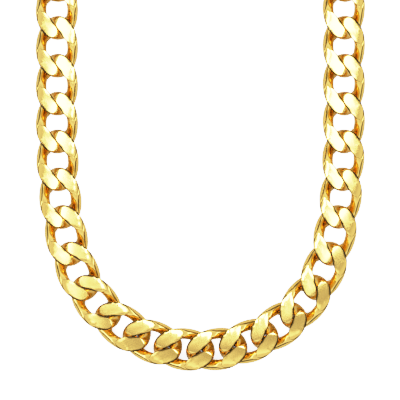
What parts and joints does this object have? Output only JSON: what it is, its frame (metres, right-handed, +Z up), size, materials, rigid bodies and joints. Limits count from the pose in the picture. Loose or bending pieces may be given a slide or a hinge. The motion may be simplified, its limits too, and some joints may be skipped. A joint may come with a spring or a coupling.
{
  "type": "curb chain necklace",
  "caption": "Closed loop of wide, twisted and ground curb links with a plain flat clasp, laid flat in a long U, to be worn round the neck.",
  "frame": {"origin": "middle of the loop's bounding box, on the surface that the chain's back lies on", "axes": "+X across the loop, +Y from the lowest point of the U towards the clasp, +Z up from the surface, out of the chain's front"},
  "size_m": [0.1162, 0.2284, 0.0064],
  "materials": {
    "gold_links": "polished yellow gold plating, with ground and polished front and back faces",
    "gold_clasp": "polished yellow gold plating"
  },
  "bodies": {
    "root": {"link_01": "gold_links", "link_02": "gold_links", "link_03": "gold_links", "link_04": "gold_links", "link_05": "gold_links", "link_06": "gold_links", "link_07": "gold_links", "link_08": "gold_links", "link_09": "gold_links", "link_10": "gold_links", "link_11": "gold_links", "link_12": "gold_links", "link_13": "gold_links", "link_14": "gold_links", "link_15": "gold_links", "link_16": "gold_links", "link_17": "gold_links", "link_18": "gold_links", "link_19": "gold_links", "link_20": "gold_links", "link_21": "gold_links", "link_22": "gold_links", "link_23": "gold_links", "link_24": "gold_links", "link_25": "gold_links", "link_26": "gold_links", "link_27": "gold_links", "link_28": "gold_links", "link_29": "gold_links", "link_30": "gold_links", "link_31": "gold_links", "link_32": "gold_links", "link_33": "gold_links", "link_34": "gold_links", "link_35": "gold_links", "link_36": "gold_links", "link_37": "gold_links", "link_38": "gold_links", "link_39": "gold_links", "link_40": "gold_links", "clasp": "gold_clasp"}
  },
  "joints": []
}
